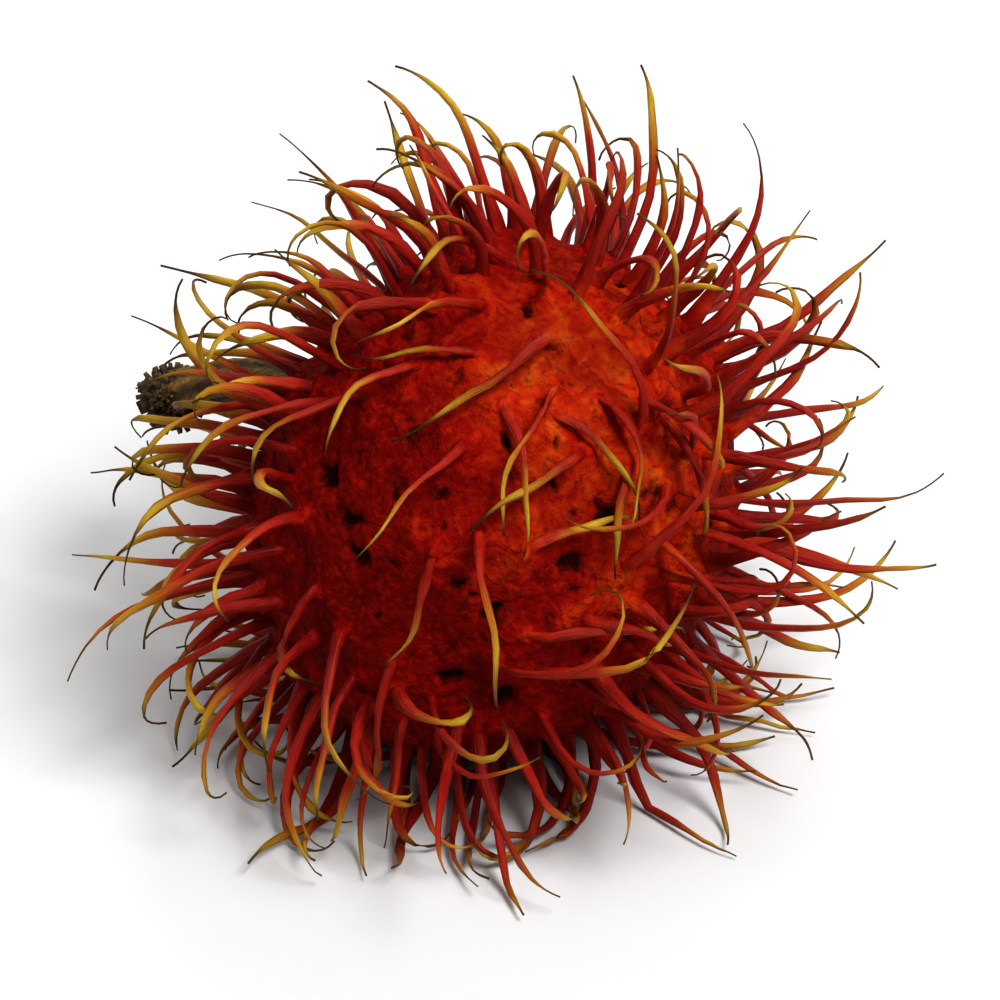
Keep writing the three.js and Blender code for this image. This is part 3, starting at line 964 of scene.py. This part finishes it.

# %% [markdown]
# ## The finish of the stub
# The bark is olive brown, with painted light on each ridge and painted shade in the grooves between them.
# The knob is nearly black in its cracks, and its scales have dry, lighter ends.

# %% Shaft and knob finishes
BARK_GRAIN = (260, 1300, 3000)
BARK_PARTS = {"patches": 0.25, "ridges": 0.26, "mottle": 0.34, "start": 0.22}
BARK_COLOURS = [
    (0.0, colour_of(26, 15, 8)),
    (0.4, colour_of(76, 54, 22)),
    (0.75, colour_of(118, 90, 36)),
    (1.0, colour_of(152, 124, 60)),
]
SCALE_GRAIN = (500, 1500, 3500)
SCALE_PARTS = {"patches": 0.4, "raised": 0.45}
SCALE_COLOURS = [
    (0.0, colour_of(14, 9, 5)),
    (0.45, colour_of(44, 32, 14)),
    (0.75, colour_of(88, 70, 30)),
    (1.0, colour_of(128, 106, 52)),
]


def shaft_finish():
    finish = Finish("stem_bark")
    patches, mottle, specks = finish.uneven(finish.place(), *BARK_GRAIN)
    light = finish.math("MULTIPLY_ADD", patches, BARK_PARTS["patches"], BARK_PARTS["start"])
    # Painted light and shade: lighter on each ridge of the bark and darker in the grooves.
    light = finish.math("MULTIPLY_ADD", finish.attribute("flank"), BARK_PARTS["ridges"], light)
    light = finish.math("MULTIPLY_ADD", mottle, BARK_PARTS["mottle"], light)
    colour = finish.ramp(light, BARK_COLOURS)
    roughness = finish.math("MULTIPLY_ADD", mottle, 0.2, 0.6)
    normal = finish.bump(specks, 0.15 * MM, 0.5, finish.bump(mottle, 0.4 * MM, 0.7))
    return finish.settle(colour, roughness, normal)


def knob_finish():
    finish = Finish("knob_scales")
    patches, mottle, specks = finish.uneven(finish.place(), *SCALE_GRAIN)
    dry = finish.math("MULTIPLY", patches, SCALE_PARTS["patches"])
    dry = finish.math("MULTIPLY_ADD", finish.attribute("raised"), SCALE_PARTS["raised"], dry)
    colour = finish.ramp(dry, SCALE_COLOURS)
    roughness = finish.math("MULTIPLY_ADD", mottle, 0.2, 0.65)
    return finish.settle(colour, roughness, finish.bump(specks, 0.15 * MM, 0.5))


shaft_piece.data.materials.append(shaft_finish())
knob_piece.data.materials.append(knob_finish())

# %% [markdown]
# ## Taking the solids' place
# The rind and the spinterns together stand for the fruit's solid, and the shaft and the knob for the
# stub's. Nothing moves, so they all ride on the one body.

# %% Riding and replacing
for piece in (rind_piece, spintern_piece):
    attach(piece, "root")
    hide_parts("fruit")
for piece in (shaft_piece, knob_piece):
    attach(piece, "root")
    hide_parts("stem_stub")
print("four pieces ride on the root and take the place of two solids")

# %% [markdown]
# ## Floor, light and camera
# A plain pale floor keeps the eye on the fruit. One large soft lamp from the upper right gives the form, a
# weak one from the left opens the shadows, and a third from behind draws the spinterns' edges. The lens is
# long, as for a product picture, so that the near spinterns don't grow too large.

# %% Floor
FLOOR_HALF_SIZE = 1.5
floor_bm = bmesh.new()
bmesh.ops.create_grid(floor_bm, x_segments=1, y_segments=1, size=FLOOR_HALF_SIZE)
floor = finish_piece("floor", floor_bm)
floor_finish = Finish("floor_paper")
floor_finish.skin.inputs["Base Color"].default_value = (0.66, 0.66, 0.66, 1)
floor_finish.skin.inputs["Roughness"].default_value = 0.9
floor.data.materials.append(floor_finish.material)


# %% Lamps
def towards(azimuth, elevation):
    """The way from the fruit towards a lamp or the camera. Azimuth 0 is on the -Y side."""
    turn, rise = math.radians(azimuth), math.radians(elevation)
    return Vector((math.sin(turn) * math.cos(rise), -math.cos(turn) * math.cos(rise), math.sin(rise)))


def aim_from(thing, way, distance):
    """Puts a lamp or the camera at a distance from the fruit, looking at it."""
    thing.location = rind_middle + way * distance
    thing.rotation_mode = "QUATERNION"
    thing.rotation_quaternion = (-way).to_track_quat("-Z", "Y")
    bpy.context.scene.collection.objects.link(thing)


def soft_lamp(name, azimuth, elevation, distance, size, power):
    lamp = bpy.data.lights.new(name, "AREA")
    lamp.size = size
    lamp.energy = power
    aim_from(bpy.data.objects.new(name, lamp), towards(azimuth, elevation), distance)
    print(name, "shines with", power, "W from", distance, "m away")


soft_lamp("key_lamp", azimuth=80, elevation=58, distance=0.5, size=0.2, power=2.8)
soft_lamp("fill_lamp", azimuth=-55, elevation=35, distance=0.6, size=0.3, power=0.75)
soft_lamp("back_lamp", azimuth=205, elevation=45, distance=0.5, size=0.25, power=0.9)

studio = bpy.data.worlds.new("studio")
studio.use_nodes = True
studio.node_tree.nodes["Background"].inputs["Color"].default_value = (1, 1, 1, 1)
studio.node_tree.nodes["Background"].inputs["Strength"].default_value = 0.24
bpy.context.scene.world = studio
bpy.context.scene.view_settings.view_transform = "Standard"
bpy.context.scene.view_settings.look = "Medium High Contrast"

# %% Camera
CAMERA_AZIMUTH = 29
CAMERA_ELEVATION = 35
CAMERA_DISTANCE = 0.325
LENS = 150

camera_data = bpy.data.cameras.new("camera")
camera_data.lens = LENS
camera_data.clip_start = 0.01
camera = bpy.data.objects.new("camera", camera_data)
aim_from(camera, towards(CAMERA_AZIMUTH, CAMERA_ELEVATION), CAMERA_DISTANCE)
bpy.context.scene.camera = camera
print("the camera looks at the fruit from", CAMERA_DISTANCE, "m away")
